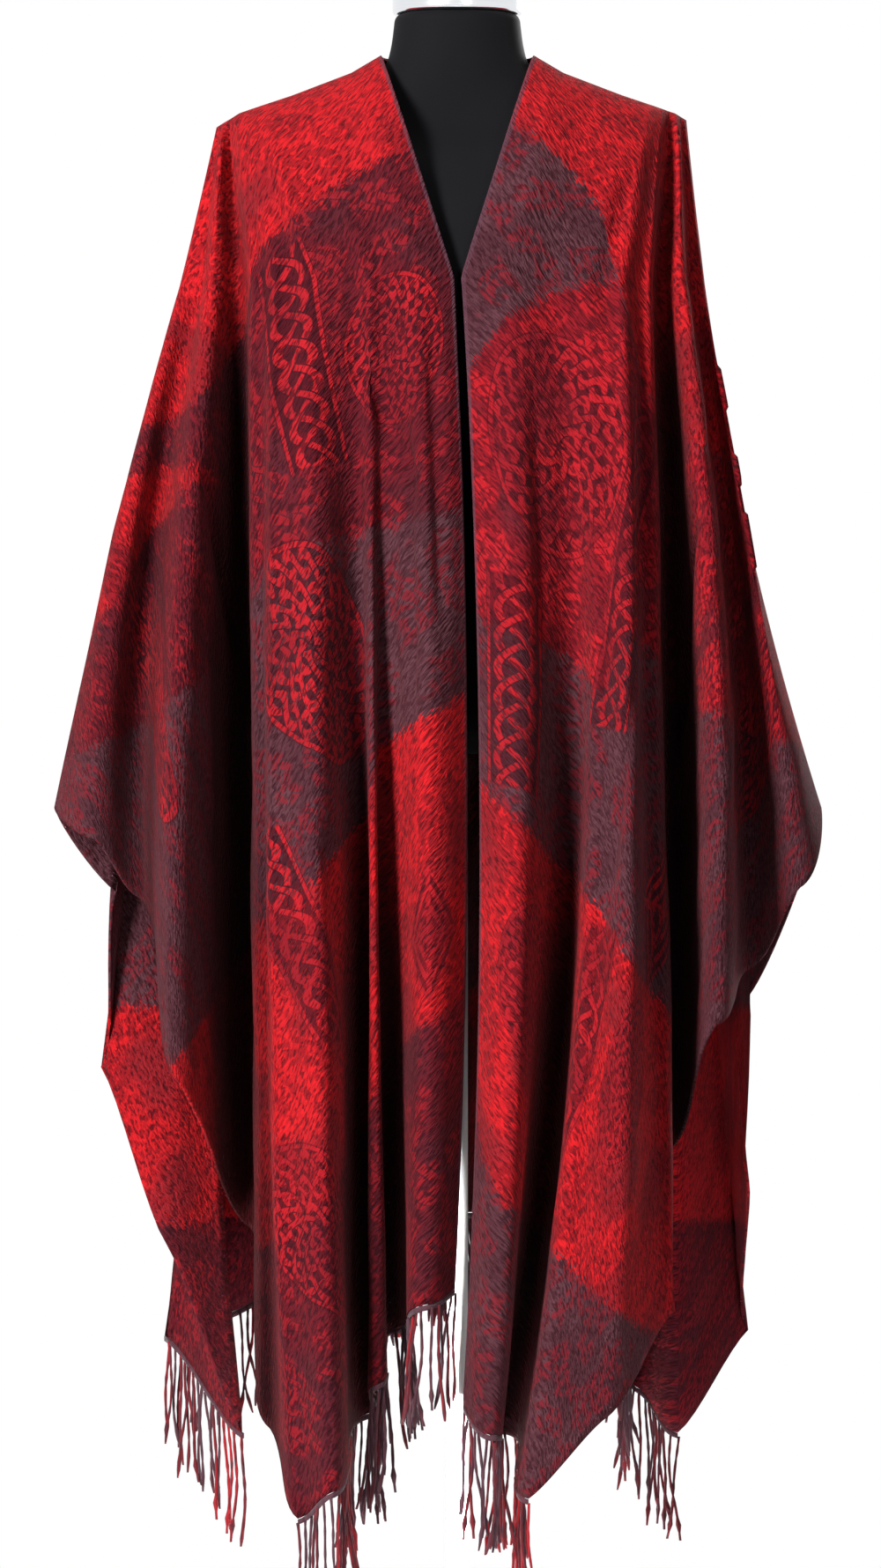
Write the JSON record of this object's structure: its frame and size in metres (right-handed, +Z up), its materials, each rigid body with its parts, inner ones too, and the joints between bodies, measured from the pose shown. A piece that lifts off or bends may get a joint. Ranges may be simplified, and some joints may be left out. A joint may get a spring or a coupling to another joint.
{
  "type": "ruana on dress form",
  "caption": "Fringed ruana, an oblong shawl slit up its centre front, hanging in deep folds on a limbless dress form with a bright neck cap, pole and round base.",
  "frame": {"origin": "on the floor under the middle of the whole outline; the base plate rests on the floor", "axes": "+Z up; the garment's front faces -Y; +X towards the right of someone facing the front"},
  "size_m": [0.653, 0.4134, 1.514],
  "materials": {
    "ruana_cloth": "soft brushed jacquard, matt, reds, maroon and plum",
    "fringe_yarn": "twisted yarn, matt, maroon and plum",
    "form_black": "smooth, satin black",
    "cap_chrome": "bright polished",
    "stand_white": "satin white paint"
  },
  "bodies": {
    "root": {"ruana_front_left": "ruana_cloth", "ruana_front_right": "ruana_cloth", "ruana_back": "ruana_cloth", "fringe_front_left": "fringe_yarn", "fringe_front_right": "fringe_yarn", "fringe_back_left": "fringe_yarn", "fringe_back_right": "fringe_yarn", "form_body": "form_black", "form_cap": "cap_chrome", "form_pole": "stand_white", "form_base": "stand_white"}
  },
  "joints": []
}
